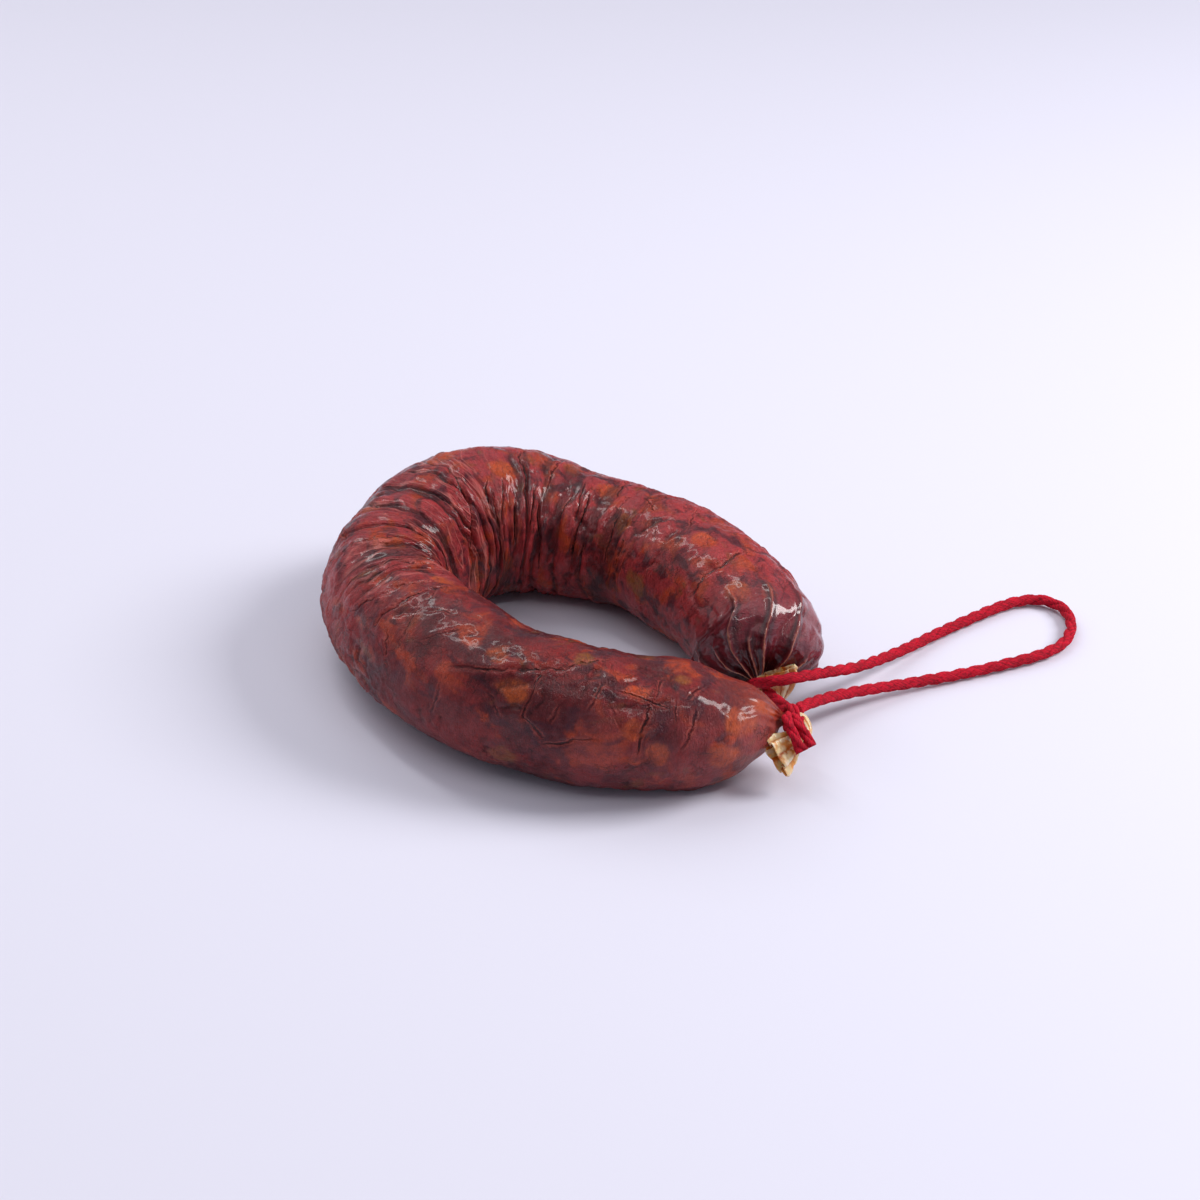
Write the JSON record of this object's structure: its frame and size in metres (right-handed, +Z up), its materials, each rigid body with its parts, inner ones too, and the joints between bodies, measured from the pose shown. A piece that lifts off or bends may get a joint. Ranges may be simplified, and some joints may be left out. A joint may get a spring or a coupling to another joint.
{
  "type": "cured sausage",
  "caption": "Cured sausage bent into a horseshoe, both ends tied with red cotton string that makes a hanging loop.",
  "frame": {"origin": "on the table, under the middle of the box round the sausage, its ties and its empty casing ends", "axes": "+Z up; +X from the bend towards the two tied ends; +Y from the front limb towards the rear limb"},
  "size_m": [0.208, 0.1351, 0.0421],
  "materials": {
    "cured_meat": "dried natural casing over mottled maroon and orange-red meat, creased, with a soft waxy shine",
    "dry_casing": "empty dried casing, thin, translucent amber, pleated and glossy",
    "red_cotton": "soft twisted cotton string, crimson, matte"
  },
  "bodies": {
    "root": {"sausage": "cured_meat", "casing_tail_front": "dry_casing", "casing_tail_rear": "dry_casing", "string_tie_front": "red_cotton", "string_tie_rear": "red_cotton", "string_loop": "red_cotton", "string_bridge": "red_cotton", "string_cut_end_1": "red_cotton", "string_cut_end_2": "red_cotton"}
  },
  "joints": []
}
